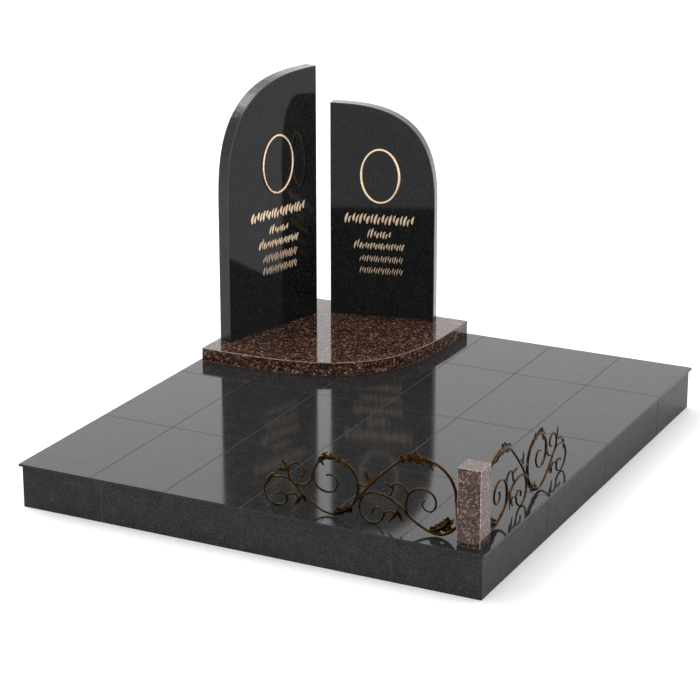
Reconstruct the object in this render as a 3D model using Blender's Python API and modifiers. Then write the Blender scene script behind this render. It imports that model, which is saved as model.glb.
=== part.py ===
"""Granite grave monument: two polished headstones on a bowed pedestal, which stands in one corner of a
paved and clad platform, with a stone post and two cast scroll panels at the opposite corner.
Metres, +Z up. The front faces -Y and the origin is the middle of the underside."""
import math

import bmesh
import bpy
from mathutils import Matrix, Vector

# Touching pieces
FIT_GAP = 0.0003

# Platform, from the ground up to the paving's top. Its paving sets its width and depth.
PLATFORM_HEIGHT = 0.176
PAVING_COLUMNS = 6
PAVING_FULL_ROWS = 3
PAVING_SLAB_WIDTH = 0.320
PAVING_SLAB_LENGTH = 0.600
PAVING_CUT_LENGTH = 0.410
PAVING_THICKNESS = 0.010
PAVING_OVERHANG = 0.010
PAVING_JOINT = 0.002
PAVING_ARRIS = 0.0008

# Cladding slabs: two long ones between cut ends on the front and back, and the paving's rows on the sides
CLADDING_THICKNESS = 0.020
CLADDING_SLAB_LENGTH = 0.600
CLADDING_JOINT = 0.002
CLADDING_ARRIS = 0.0008

# Pedestal in the back left corner
PEDESTAL_WIDTH = 0.860
PEDESTAL_DEPTH = 0.855
PEDESTAL_HEIGHT = 0.060
PEDESTAL_FROM_LEFT = 0.020
PEDESTAL_FROM_BACK = 0.005
PEDESTAL_BOW = 3.4
PEDESTAL_ARRIS = 0.0015

# Headstones, each placed by the foot of its inner front edge, from the pedestal's back left corner
HEADSTONE_THICKNESS = 0.060
HEADSTONE_ARRIS = 0.0015
TALL_WIDTH = 0.551
TALL_HEIGHT = 1.122
TALL_SHOULDER_DROP = 0.551
TALL_FROM_LEFT = 0.216
TALL_FROM_BACK = 0.201
TALL_TURN = 74.7
LOW_WIDTH = 0.471
LOW_HEIGHT = 0.959
LOW_SHOULDER_DROP = 0.473
LOW_FROM_LEFT = 0.267
LOW_FROM_BACK = 0.171
LOW_TURN = 12.0
SHOULDER_FULLNESS = 2.9

# Oval portrait frames, placed from the headstone's inner edge and foot
FRAME_BAND = 0.013
FRAME_THICKNESS = 0.006
TALL_FRAME_WIDTH = 0.195
TALL_FRAME_HEIGHT = 0.264
TALL_FRAME_INSET = 0.246
TALL_FRAME_RISE = 0.731
LOW_FRAME_WIDTH = 0.184
LOW_FRAME_HEIGHT = 0.251
LOW_FRAME_INSET = 0.226
LOW_FRAME_RISE = 0.642

# Corner post, placed from the cladding's front right corner
POST_WIDTH = 0.090
POST_DEPTH = 0.090
POST_HEIGHT = 0.292
POST_FROM_RIGHT = 0.020
POST_FROM_FRONT = 0.025
POST_ARRIS = 0.0015

# Cast scroll panels. The side one stands a little outside the post's middle.
PANEL_LENGTH = 0.784
SIDE_PANEL_OFFSET = 0.014
DRAWING_UNIT = 0.001
BAR_DEGREES_PER_STEP = 32.0
BAR_LONGEST_STEP = 45.0
BAR_BEVEL_RESOLUTION = 1
LEAF_POINTS_PER_LOBE = 2

# The casting is drawn in its own units, about a thousandth of a metre, and then scaled to PANEL_LENGTH.
# Each scroll is a bar bent in tangent arcs: where it starts, its first heading in degrees, its radius there
# and at its eye, and its bends as (radius, degrees), where plus turns to the left. X runs away from the post.
SCROLLS = {
    "long_s": ((16, 38), 90, 5.7, 3.3,
               [(1220, -6), (125, -55), (148, -70), (1078, -14), (98, 83), (353, 19), (81, -90), (52, -173),
                (23, -190)]),
    "second_s": ((23, 47), 300, 5.7, 3.3,
                 [(80, 74), (227, 31), (174, -43), (61, -136), (46, -127), (22, -200)]),
    "first_eye": ((210, 60), 71, 5.2, 3.3, [(100, 38), (62, 103), (43, 92), (25, 150), (12, 60)]),
    "first_curl": ((207, 137), 82, 4.6, 3.3, [(38, -81), (23, -93), (36, 42)]),
    "circle": ((440, 40), 136, 5.7, 3.3,
               [(122, -49), (93, -110), (86, -61), (55, 98), (42, 136), (31, 123), (15, 90)]),
    "second_eye": ((580, 158), 283, 5.0, 3.3, [(58, -56), (54, -54), (41, -77), (28, -125)]),
    "first_link": ((250, 47), 55, 3.9, 3.3, [(30, -110)]),
    "middle_link": ((353, 158), 293, 3.9, 3.7, [(33, 106)]),
    "last_link": ((640, 46), 56, 3.9, 3.3, [(28, -118)]),
    "lower_lug": ((0, 68), 0, 4.0, 4.0, [(1000, 1)]),
    "upper_lug": ((0, 148), 0, 4.0, 4.0, [(1000, 1.3)]),
}

# Each leaf: its foot, heading, length, width, thickness, bend over its length in degrees, and lobes a side.
LEAVES = [
    ((248, 256), 150, 150, 34, 14, 62, 4),
    ((212, 274), 152, 72, 15, 9, -12, 1),
    ((188, 280), 104, 30, 13, 9, 20, 1),
    ((124, 262), 226, 26, 11, 9, 10, 1),
    ((200, 274), 284, 24, 11, 9, 10, 1),
    ((440, 198), 40, 125, 26, 14, -62, 4),
    ((566, 200), 138, 66, 14, 9, -8, 1),
    ((528, 212), 74, 28, 12, 9, 20, 1),
    ((548, 206), 264, 24, 13, 9, -30, 1),
    ((128, 13), 176, 112, 26, 14, -52, 4),
    ((44, 30), 100, 54, 15, 9, 20, 1),
    ((70, 20), 84, 30, 13, 9, -20, 1),
    ((95, 14), 98, 32, 13, 9, 20, 1),
    ((505, 12), 172, 100, 26, 14, -42, 3),
    ((438, 56), 252, 38, 14, 9, 10, 1),
    ((474, 16), 58, 32, 13, 9, 20, 1),
    ((352, 150), 124, 44, 15, 9, -16, 1),
    ((354, 150), 62, 56, 16, 9, 16, 1),
    ((256, 152), 6, 50, 16, 9, 24, 1),
    ((680, 146), 46, 50, 16, 9, 20, 1),
    ((680, 150), -12, 58, 18, 9, -10, 1),
    ((741, 124), -34, 62, 19, 11, -60, 2),
    ((246, 84), 262, 62, 16, 9, -14, 1),
    ((244, 74), 298, 70, 16, 9, 14, 1),
    ((624, 68), 262, 44, 15, 9, -14, 1),
    ((624, 66), 300, 66, 19, 9, 8, 1),
]

# Where everything else starts from
PAVING_WIDTH = PAVING_COLUMNS * PAVING_SLAB_WIDTH
PAVING_DEPTH = PAVING_FULL_ROWS * PAVING_SLAB_LENGTH + PAVING_CUT_LENGTH
PLATFORM_WIDTH = PAVING_WIDTH - 2 * PAVING_OVERHANG
PLATFORM_DEPTH = PAVING_DEPTH - 2 * PAVING_OVERHANG
CLADDING_TOP = PLATFORM_HEIGHT - PAVING_THICKNESS - FIT_GAP
PEDESTAL_TOP = PLATFORM_HEIGHT + PEDESTAL_HEIGHT
PEDESTAL_LEFT = -PAVING_WIDTH / 2 + PEDESTAL_FROM_LEFT
PEDESTAL_BACK = PAVING_DEPTH / 2 - PEDESTAL_FROM_BACK
POST_RIGHT = PLATFORM_WIDTH / 2 - POST_FROM_RIGHT
POST_FRONT = -PLATFORM_DEPTH / 2 + POST_FROM_FRONT


def clear_scene():
    for thing in list(bpy.data.objects):
        bpy.data.objects.remove(thing, do_unlink=True)


def make_collection(name):
    collection = bpy.data.collections.new(name)
    bpy.context.scene.collection.children.link(collection)
    return collection


def make_material(name, color, roughness, metallic=0.0):
    material = bpy.data.materials.new(name)
    material.use_nodes = True
    shader = material.node_tree.nodes["Principled BSDF"]
    shader.inputs["Base Color"].default_value = (*color, 1.0)
    shader.inputs["Roughness"].default_value = roughness
    shader.inputs["Metallic"].default_value = metallic
    return material


clear_scene()
MONUMENT = make_collection("granite_monument")
GUIDES = make_collection("monument_cutters")
BLACK_GRANITE = make_material("black_granite", (0.018, 0.018, 0.019), 0.08)
RED_GRANITE = make_material("red_granite", (0.14, 0.055, 0.045), 0.12)
CONCRETE = make_material("concrete", (0.42, 0.41, 0.39), 0.9)
BRONZE = make_material("bronze", (0.16, 0.085, 0.03), 0.35, 1.0)
GOLD_BRONZE = make_material("gold_bronze", (0.75, 0.52, 0.30), 0.3, 1.0)


# Shared tools
def keep(thing, material):
    """Puts a finished piece in the monument's collection with its material."""
    thing.data.materials.clear()
    thing.data.materials.append(material)
    for collection in list(thing.users_collection):
        collection.objects.unlink(thing)
    MONUMENT.objects.link(thing)
    return thing


def add_arris(thing, width, segments=1):
    """Takes the sharp edges off a piece."""
    bevel = thing.modifiers.new("arris", "BEVEL")
    bevel.width = width
    bevel.segments = segments
    bevel.limit_method = "ANGLE"
    bevel.angle_limit = math.radians(30)
    return bevel


def block(name, low, high, material, arris=0.0):
    """A stone block between two corners."""
    low, high = Vector(low), Vector(high)
    bpy.ops.mesh.primitive_cube_add(size=1.0, location=(low + high) / 2)
    thing = bpy.context.object
    thing.name = name
    for vertex in thing.data.vertices:
        vertex.co = Vector([a * b for a, b in zip(vertex.co, high - low)])
    if arris:
        add_arris(thing, arris)
    return keep(thing, material)


def plate_curve(name, outlines, thickness):
    """A filled flat outline of the given thickness, with z = 0 in its middle; inner outlines are holes."""
    data = bpy.data.curves.new(name, "CURVE")
    data.dimensions = "2D"
    data.fill_mode = "BOTH"
    data.extrude = thickness / 2
    for outline in outlines:
        spline = data.splines.new("POLY")
        spline.points.add(len(outline) - 1)
        for point, (x, y) in zip(spline.points, outline):
            point.co = (x, y, 0.0, 1.0)
        spline.use_cyclic_u = True
    thing = bpy.data.objects.new(name, data)
    GUIDES.objects.link(thing)
    return thing


def to_mesh_object(curve):
    """Turns a curve into a closed mesh object in the same place, and removes the curve."""
    graph = bpy.context.evaluated_depsgraph_get()
    mesh = bpy.data.meshes.new_from_object(curve.evaluated_get(graph))
    work = bmesh.new()
    work.from_mesh(mesh)
    bmesh.ops.remove_doubles(work, verts=work.verts, dist=0.00005)
    bmesh.ops.recalc_face_normals(work, faces=work.faces)
    work.to_mesh(mesh)
    work.free()
    thing = bpy.data.objects.new(curve.name + "_body", mesh)
    thing.matrix_world = curve.matrix_world.copy()
    GUIDES.objects.link(thing)
    name = curve.name
    bpy.data.objects.remove(curve, do_unlink=True)
    thing.name = name
    return thing


def stone_plate(name, outlines, thickness, material, place, arris=0.0):
    """A sawn stone (or cast ring) with the given outline, set in place by a matrix."""
    thing = to_mesh_object(plate_curve(name, outlines, thickness))
    thing.matrix_world = place
    if arris:
        add_arris(thing, arris)
    return keep(thing, material)


def full_quarter(width, height, fullness, steps=20):
    """A rounded shoulder from (0, height) to (width, 0), squarer than an ellipse where fullness is over 2."""
    points = []
    for i in range(steps + 1):
        angle = math.pi / 2 * i / steps
        across = width * math.sin(angle) ** (2 / fullness)
        up = height * max(0.0, math.cos(angle)) ** (2 / fullness)
        points.append((across, up))
    return points


def ellipse(width, height, steps=40):
    return [(width / 2 * math.cos(2 * math.pi * i / steps), height / 2 * math.sin(2 * math.pi * i / steps))
            for i in range(steps)]


def upright(point, turn):
    """Stands a flat outline up: its y becomes height, and it faces -Y turned by the given degrees."""
    return (Matrix.Translation(point) @ Matrix.Rotation(math.radians(turn), 4, "Z")
            @ Matrix.Rotation(math.radians(90), 4, "X"))


# Platform: concrete bed, cladding and paving
def make_bed():
    half_x = PLATFORM_WIDTH / 2 - CLADDING_THICKNESS - FIT_GAP
    half_y = PLATFORM_DEPTH / 2 - CLADDING_THICKNESS - FIT_GAP
    block("concrete_bed", (-half_x, -half_y, 0.0), (half_x, half_y, CLADDING_TOP), CONCRETE)


def cladding_slab(name, start, end, mitre_start, mitre_end, place):
    """One upright slab. Its outer face lies on y = 0 and it is drawn in plan, mitred at the corners."""
    inner_start = start + (CLADDING_THICKNESS if mitre_start else 0.0)
    inner_end = end - (CLADDING_THICKNESS if mitre_end else 0.0)
    outline = [(start, 0.0), (end, 0.0), (inner_end, CLADDING_THICKNESS), (inner_start, CLADDING_THICKNESS)]
    stone_plate(name, [outline], CLADDING_TOP, BLACK_GRANITE,
                place @ Matrix.Translation((0.0, 0.0, CLADDING_TOP / 2)), CLADDING_ARRIS)


def clad_side(name, edges, turn, distance):
    """A row of slabs along one side of the platform, between the given edges."""
    place = Matrix.Rotation(math.radians(turn), 4, "Z") @ Matrix.Translation((0.0, -distance, 0.0))
    pieces = list(zip(edges, edges[1:]))
    for i, (start, end) in enumerate(pieces):
        first, last = i == 0, i == len(pieces) - 1
        start += FIT_GAP if first else CLADDING_JOINT / 2
        end -= FIT_GAP if last else CLADDING_JOINT / 2
        cladding_slab(f"{name}_slab_{i + 1}", start, end, first, last, place)


def make_cladding():
    half_x, half_y = PLATFORM_WIDTH / 2, PLATFORM_DEPTH / 2
    across = [-half_x, -CLADDING_SLAB_LENGTH, 0.0, CLADDING_SLAB_LENGTH, half_x]
    along = [-half_y + row * PAVING_SLAB_LENGTH for row in range(PAVING_FULL_ROWS + 1)] + [half_y]
    clad_side("front_cladding", across, 0, half_y)
    clad_side("right_cladding", along, 90, half_x)
    clad_side("back_cladding", across, 180, half_y)
    clad_side("left_cladding", [-edge for edge in reversed(along)], 270, half_x)


def make_paving():
    columns = [-PAVING_WIDTH / 2 + i * PAVING_SLAB_WIDTH for i in range(PAVING_COLUMNS + 1)]
    rows = [-PAVING_DEPTH / 2 + i * PAVING_SLAB_LENGTH for i in range(PAVING_FULL_ROWS + 1)]
    rows.append(PAVING_DEPTH / 2)
    half_joint = PAVING_JOINT / 2
    for row in range(len(rows) - 1):
        front = rows[row] + (half_joint if row > 0 else 0.0)
        back = rows[row + 1] - (half_joint if row < len(rows) - 2 else 0.0)
        for i in range(PAVING_COLUMNS):
            left = columns[i] + (half_joint if i > 0 else 0.0)
            right = columns[i + 1] - (half_joint if i < PAVING_COLUMNS - 1 else 0.0)
            block(f"paving_slab_{row + 1}_{i + 1}", (left, front, PLATFORM_HEIGHT - PAVING_THICKNESS),
                  (right, back, PLATFORM_HEIGHT), BLACK_GRANITE, PAVING_ARRIS)


# Pedestal: square at the back left, bowed towards the opposite corner
def make_pedestal():
    bow = full_quarter(PEDESTAL_WIDTH, PEDESTAL_DEPTH, PEDESTAL_BOW, steps=36)
    outline = [(0.0, 0.0)] + [(across, -down) for across, down in reversed(bow)]
    outline.reverse()
    thickness = PEDESTAL_HEIGHT - FIT_GAP
    place = Matrix.Translation((PEDESTAL_LEFT, PEDESTAL_BACK, PEDESTAL_TOP - thickness / 2))
    stone_plate("pedestal", [outline], thickness, RED_GRANITE, place, PEDESTAL_ARRIS)


# Headstones and their oval frames
def headstone(name, from_left, from_back, turn, side, width, height, drop, frame):
    """side is +1 where the stone runs along its own +x from the inner edge, and -1 for the other hand."""
    shoulder = full_quarter(width, drop, SHOULDER_FULLNESS)
    outline = [(0.0, 0.0), (0.0, height)] + [(x, height - drop + z) for x, z in shoulder[1:]] + [(width, 0.0)]
    outline = [(side * x, y) for x, y in outline]
    foot = Vector((PEDESTAL_LEFT + from_left, PEDESTAL_BACK - from_back, PEDESTAL_TOP + FIT_GAP))
    stand = upright(foot, turn)
    stone = stand @ Matrix.Translation((0.0, 0.0, -HEADSTONE_THICKNESS / 2))
    stone_plate(name, [outline], HEADSTONE_THICKNESS, BLACK_GRANITE, stone, HEADSTONE_ARRIS)
    frame_name, inset, rise, frame_width, frame_height = frame
    rings = [ellipse(frame_width, frame_height),
             ellipse(frame_width - 2 * FRAME_BAND, frame_height - 2 * FRAME_BAND)]
    place = stand @ Matrix.Translation((side * inset, rise, FIT_GAP + FRAME_THICKNESS / 2))
    stone_plate(frame_name, rings, FRAME_THICKNESS, GOLD_BRONZE, place)


def make_headstones():
    headstone("tall_headstone", TALL_FROM_LEFT, TALL_FROM_BACK, TALL_TURN, -1, TALL_WIDTH, TALL_HEIGHT,
              TALL_SHOULDER_DROP,
              ("tall_oval_frame", TALL_FRAME_INSET, TALL_FRAME_RISE, TALL_FRAME_WIDTH, TALL_FRAME_HEIGHT))
    headstone("low_headstone", LOW_FROM_LEFT, LOW_FROM_BACK, LOW_TURN, 1, LOW_WIDTH, LOW_HEIGHT,
              LOW_SHOULDER_DROP,
              ("low_oval_frame", LOW_FRAME_INSET, LOW_FRAME_RISE, LOW_FRAME_WIDTH, LOW_FRAME_HEIGHT))


# Corner post
def make_post():
    block("corner_post", (POST_RIGHT - POST_WIDTH, POST_FRONT, PLATFORM_HEIGHT + FIT_GAP),
          (POST_RIGHT, POST_FRONT + POST_DEPTH, PLATFORM_HEIGHT + POST_HEIGHT), RED_GRANITE, POST_ARRIS)


# Cast scroll panels
def bend_path(start, heading, bends):
    """Points along a chain of tangent arcs, with how far along each one lies."""
    x, y = start
    angle = math.radians(heading)
    points, along = [(x, y, 0.0)], 0.0
    for radius, degrees in bends:
        length = radius * math.radians(abs(degrees))
        steps = max(math.ceil(abs(degrees) / BAR_DEGREES_PER_STEP), math.ceil(length / BAR_LONGEST_STEP), 1)
        turn = math.radians(degrees) / steps
        chord = 2 * radius * math.sin(abs(turn) / 2)
        for _ in range(steps):
            x += chord * math.cos(angle + turn / 2)
            y += chord * math.sin(angle + turn / 2)
            angle += turn
            along += length / steps
            points.append((x, y, along))
    return points


def scroll_bar(name, start, heading, thick, thin, bends):
    """A round bar bent in one plane that thins towards its eye."""
    path = bend_path(start, heading, bends)
    total = path[-1][2]
    data = bpy.data.curves.new(name, "CURVE")
    data.dimensions = "3D"
    data.bevel_depth = DRAWING_UNIT
    data.bevel_resolution = BAR_BEVEL_RESOLUTION
    data.use_fill_caps = True
    data.twist_mode = "Z_UP"
    spline = data.splines.new("POLY")
    spline.points.add(len(path) - 1)
    for point, (x, y, along) in zip(spline.points, path):
        point.co = (x * DRAWING_UNIT, y * DRAWING_UNIT, 0.0, 1.0)
        point.radius = thick + (thin - thick) * along / total
    thing = bpy.data.objects.new(name, data)
    GUIDES.objects.link(thing)
    return to_mesh_object(thing)


def leaf_outline(foot, heading, length, width, bend, lobes):
    """A pointed leaf along a bent midrib, with lobes along both edges."""
    steps = lobes * LEAF_POINTS_PER_LOBE + 1
    left, right = [], []
    angle = math.radians(heading)
    x, y = foot
    for i in range(steps + 1):
        share = i / steps
        swell = math.sin(math.pi * min(1.0, 0.12 + 0.88 * share)) ** 0.7
        notch = 1.0 if lobes == 1 else 0.72 + 0.28 * math.cos(2 * math.pi * share * lobes + math.pi)
        half = width / 2 * swell * notch if i < steps else 0.0
        left.append((x - half * math.sin(angle), y + half * math.cos(angle)))
        right.append((x + half * math.sin(angle), y - half * math.cos(angle)))
        x += length / steps * math.cos(angle)
        y += length / steps * math.sin(angle)
        angle += math.radians(bend) / steps
    return left[:-1] + [left[-1]] + right[-2::-1]


def leaf_body(name, foot, heading, length, width, thickness, bend, lobes):
    drawn = leaf_outline(foot, heading, length, width, bend, lobes)
    outline = [(x * DRAWING_UNIT, y * DRAWING_UNIT) for x, y in drawn]
    return to_mesh_object(plate_curve(name, [outline], thickness * DRAWING_UNIT))


def fuse(name, bodies):
    """Joins overlapping closed bodies into one."""
    whole = bodies[0]
    for body in bodies[1:]:
        union = whole.modifiers.new("fuse", "BOOLEAN")
        union.operation = "UNION"
        union.solver = "EXACT"
        union.object = body
        graph = bpy.context.evaluated_depsgraph_get()
        mesh = bpy.data.meshes.new_from_object(whole.evaluated_get(graph))
        whole.modifiers.clear()
        whole.data = mesh
        bpy.data.objects.remove(body, do_unlink=True)
    whole.name = name
    return whole


def make_panel_mesh():
    """The casting, drawn flat with x away from the post and y up, then scaled and set against both axes."""
    bodies = [scroll_bar(name, *values) for name, values in SCROLLS.items()]
    bodies += [leaf_body(f"leaf_{i + 1}", *values) for i, values in enumerate(LEAVES)]
    panel = fuse("panel_casting", bodies)
    low = Vector([min(vertex.co[axis] for vertex in panel.data.vertices) for axis in range(3)])
    drawn_length = max(vertex.co.x for vertex in panel.data.vertices) - low.x
    to_corner = Matrix.Translation((-low.x, -low.y, 0.0))
    panel.data.transform(Matrix.Scale(PANEL_LENGTH / drawn_length, 4) @ to_corner)
    mesh = panel.data
    bpy.data.objects.remove(panel, do_unlink=True)
    return mesh


def make_panels():
    mesh = make_panel_mesh()
    middle_x = POST_RIGHT - POST_WIDTH / 2
    middle_y = POST_FRONT + POST_DEPTH / 2
    foot = PLATFORM_HEIGHT + FIT_GAP
    places = {
        "front_scroll_panel": ((POST_RIGHT - POST_WIDTH - FIT_GAP, middle_y, foot), 180),
        "side_scroll_panel": ((middle_x + SIDE_PANEL_OFFSET, POST_FRONT + POST_DEPTH + FIT_GAP, foot), 90),
    }
    for name, (point, turn) in places.items():
        panel = bpy.data.objects.new(name, mesh.copy())
        panel.matrix_world = upright(point, turn)
        GUIDES.objects.link(panel)
        keep(panel, BRONZE)


make_bed()
make_cladding()
make_paving()
make_pedestal()
make_headstones()
make_post()
make_panels()
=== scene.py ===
# %% [markdown]
# # A granite monument
#
# The real monument is a dry stack of sawn and polished stone. A platform is clad and paved with thin
# slabs of black granite, a bowed pedestal of red granite stands in its back left corner, and two
# headstones stand on the pedestal. A stone post and two cast bronze scroll panels guard the opposite
# corner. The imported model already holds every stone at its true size, so this script adds what the eye
# reads: polish, grain, metal and light.

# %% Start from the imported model
import math

import bmesh
import bpy
from mathutils import Matrix, Vector


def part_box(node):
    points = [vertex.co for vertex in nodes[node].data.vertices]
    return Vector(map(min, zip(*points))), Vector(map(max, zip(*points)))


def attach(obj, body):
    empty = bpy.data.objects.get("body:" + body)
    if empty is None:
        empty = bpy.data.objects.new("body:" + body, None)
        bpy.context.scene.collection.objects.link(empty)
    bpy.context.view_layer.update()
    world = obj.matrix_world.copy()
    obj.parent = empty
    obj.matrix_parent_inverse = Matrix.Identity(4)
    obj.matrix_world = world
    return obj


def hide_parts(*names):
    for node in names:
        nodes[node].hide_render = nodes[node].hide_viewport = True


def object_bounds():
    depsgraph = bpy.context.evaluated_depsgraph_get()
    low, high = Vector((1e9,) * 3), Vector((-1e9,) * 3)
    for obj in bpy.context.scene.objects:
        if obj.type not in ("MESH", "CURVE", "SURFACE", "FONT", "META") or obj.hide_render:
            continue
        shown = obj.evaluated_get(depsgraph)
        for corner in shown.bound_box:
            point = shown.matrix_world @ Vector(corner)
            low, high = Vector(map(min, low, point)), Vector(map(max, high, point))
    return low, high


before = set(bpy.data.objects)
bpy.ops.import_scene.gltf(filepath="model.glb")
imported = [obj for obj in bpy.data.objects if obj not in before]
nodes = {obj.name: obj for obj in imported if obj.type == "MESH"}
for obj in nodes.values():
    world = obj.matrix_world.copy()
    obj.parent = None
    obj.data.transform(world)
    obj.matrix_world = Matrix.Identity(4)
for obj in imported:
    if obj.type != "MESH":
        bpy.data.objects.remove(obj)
cad_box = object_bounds()
scene = bpy.context.scene
print("packed nodes:", len(nodes), "box:", [[round(v, 3) for v in corner] for corner in cad_box])

# %% [markdown]
# The photograph is taken from the front right, with a long lens and from well above. A camera placed with
# real distances and a real lens gives the same perspective, so nothing has to be bent to fit the picture.

# %% Camera
CAMERA_PLACE = (3.8222, -7.8316, 3.3831)
CAMERA_AZIMUTH = 26.657
CAMERA_DOWN = 18.645
CAMERA_LENS_MM = 118.87
CAMERA_SENSOR_MM = 36.0

camera_data = bpy.data.cameras.new("camera")
camera_data.lens = CAMERA_LENS_MM
camera_data.sensor_width = CAMERA_SENSOR_MM
camera_data.sensor_fit = "HORIZONTAL"
camera = bpy.data.objects.new("camera", camera_data)
camera.location = CAMERA_PLACE
camera.rotation_euler = (math.radians(90 - CAMERA_DOWN), 0.0, math.radians(CAMERA_AZIMUTH))
scene.collection.objects.link(camera)
scene.camera = camera
print("camera lens", camera_data.lens, "mm at", tuple(round(v, 2) for v in camera.location))

# %% [markdown]
# Black polished stone shows hardly any colour of its own: it is seen by what it mirrors. In the
# photograph that is a bright white studio, so the sky is an even white, with three soft brighter places
# in it: two lamps high on the left, and a broad glow behind the monument. Each one is a lobe around a
# direction, a dot product raised to a power, so it has no hard edge that a polished stone would mirror as
# a shape. The lower, tighter lamp is the one that lights up the ground shoulder of the tall stone.

# %% Studio sky
SKY_BASE = 1.15
SKY_LOBES = {
    "upper_lamp": ((-0.62, 0.25, 0.745), 6.0, 90.0),
    "lower_lamp": ((-0.687, 0.045, 0.725), 24.0, 260.0),
    "back_glow": ((-0.58, 0.75, 0.32), 0.90, 6.0),
}

scene.view_settings.view_transform = "Standard"


def add_math(tree, operation, a, b):
    """One step of arithmetic. Each of a and b is a socket or a number."""
    node = tree.nodes.new("ShaderNodeMath")
    node.operation = operation
    for socket, value in zip(node.inputs, (a, b)):
        if isinstance(value, bpy.types.NodeSocket):
            tree.links.new(value, socket)
        else:
            socket.default_value = value
    return node.outputs["Value"]


world = bpy.data.worlds.new("white_studio")
world.use_nodes = True
sky_tree = world.node_tree
look_direction = sky_tree.nodes.new("ShaderNodeTexCoord").outputs["Generated"]
brightness = SKY_BASE
for direction, strength, tightness in SKY_LOBES.values():
    toward = sky_tree.nodes.new("ShaderNodeVectorMath")
    toward.operation = "DOT_PRODUCT"
    sky_tree.links.new(look_direction, toward.inputs[0])
    toward.inputs[1].default_value = Vector(direction).normalized()
    facing = add_math(sky_tree, "MAXIMUM", toward.outputs["Value"], 0.0)
    lobe = add_math(sky_tree, "MULTIPLY", add_math(sky_tree, "POWER", facing, tightness), strength)
    brightness = add_math(sky_tree, "ADD", lobe, brightness)
sky_tree.nodes["Background"].inputs["Color"].default_value = (1.0, 1.0, 1.0, 1.0)
sky_tree.links.new(brightness, sky_tree.nodes["Background"].inputs["Strength"])
scene.world = world
print("sky base", SKY_BASE, "with", len(SKY_LOBES), "soft lobes")

# %% [markdown]
# The floor is a plain pale sheet. It is lit a little more than white and glows a little of its own, as a
# lit sheet of paper seems to, so only the narrow contact shadow and the soft one on the right stay
# visible on it.

# %% Studio floor
FLOOR_SIZE = 60.0
FLOOR_WHITE = 0.95
FLOOR_GLOW = 0.07
FLOOR_ROUGHNESS = 0.9
FLOOR_SHEEN = 0.1
FLOOR_GAP = 0.0005

bpy.ops.mesh.primitive_plane_add(size=FLOOR_SIZE, location=(0.0, 0.0, cad_box[0][2] - FLOOR_GAP))
floor = bpy.context.object
floor.name = "studio_floor"
floor_look = bpy.data.materials.new("studio_floor")
floor_look.use_nodes = True
floor_shader = floor_look.node_tree.nodes["Principled BSDF"]
floor_shader.inputs["Base Color"].default_value = (FLOOR_WHITE, FLOOR_WHITE, FLOOR_WHITE, 1.0)
floor_shader.inputs["Roughness"].default_value = FLOOR_ROUGHNESS
floor_shader.inputs["Specular IOR Level"].default_value = FLOOR_SHEEN
floor_shader.inputs["Emission Color"].default_value = (1.0, 1.0, 1.0, 1.0)
floor_shader.inputs["Emission Strength"].default_value = FLOOR_GLOW
floor.data.materials.append(floor_look)
print("floor at z =", round(floor.location.z, 4))

# %% [markdown]
# Every finish is a small node tree. A few helpers keep the trees short. Patterns read Object coordinates,
# which are metres here, so a grain of 2 mm is a scale of 500 on every stone, whatever its size.

# %% Node helpers
def new_look(name, roughness, metallic=0.0, ior=1.5):
    """A material and its shader, with the values that are the same all over."""
    material = bpy.data.materials.new(name)
    material.use_nodes = True
    shader = material.node_tree.nodes["Principled BSDF"]
    shader.inputs["Roughness"].default_value = roughness
    shader.inputs["Metallic"].default_value = metallic
    shader.inputs["IOR"].default_value = ior
    return material, shader


def link(material, source, target):
    material.node_tree.links.new(source, target)


def add_node(material, kind, settings=None, **inputs):
    """Adds a node. A value that is a socket is linked, and any other value is set."""
    node = material.node_tree.nodes.new(kind)
    for key, value in (settings or {}).items():
        setattr(node, key, value)
    for key, value in inputs.items():
        socket = node.inputs[key.replace("_", " ")]
        if isinstance(value, bpy.types.NodeSocket):
            link(material, value, socket)
        else:
            socket.default_value = value
    return node


def ramp(material, source, stops):
    """A colour ramp from (place, colour) stops, read by a socket. It returns the colour socket."""
    node = material.node_tree.nodes.new("ShaderNodeValToRGB")
    elements = node.color_ramp.elements
    elements[0].position, elements[0].color = stops[0][0], (*stops[0][1], 1.0)
    elements[1].position, elements[1].color = stops[-1][0], (*stops[-1][1], 1.0)
    for place, color in stops[1:-1]:
        elements.new(place).color = (*color, 1.0)
    link(material, source, node.inputs["Fac"])
    return node.outputs["Color"]


def here(material):
    """Object coordinates, in metres."""
    return add_node(material, "ShaderNodeTexCoord").outputs["Object"]


def crystals(material, place, grain):
    """Stone crystals: cells of one random value each. Grain is their size in metres."""
    cells = add_node(material, "ShaderNodeTexVoronoi", {"feature": "F1"}, Vector=place, Scale=1.0 / grain)
    return add_node(material, "ShaderNodeSeparateColor", Color=cells.outputs["Color"]).outputs["Red"]


def clouds(material, place, size, detail=3.0, rough=0.55):
    """Soft noise with features of about the given size in metres."""
    node = add_node(material, "ShaderNodeTexNoise", Vector=place, Scale=1.0 / size, Detail=detail,
                    Roughness=rough)
    return node.outputs["Fac"]


def mix(material, mode, factor, a, b):
    """Mixes two colours and returns the colour socket."""
    node = material.node_tree.nodes.new("ShaderNodeMix")
    node.data_type = "RGBA"
    node.blend_type = mode
    for socket, value in ((node.inputs[0], factor), (node.inputs[6], a), (node.inputs[7], b)):
        if isinstance(value, bpy.types.NodeSocket):
            link(material, value, socket)
        else:
            socket.default_value = value
    return node.outputs[2]


def stretch(material, source, low, high):
    """Turns a 0 to 1 value into a range, as for a roughness that varies a little."""
    return add_node(material, "ShaderNodeMapRange", Value=source, To_Min=low, To_Max=high).outputs["Result"]


print("node helpers ready")

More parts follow.
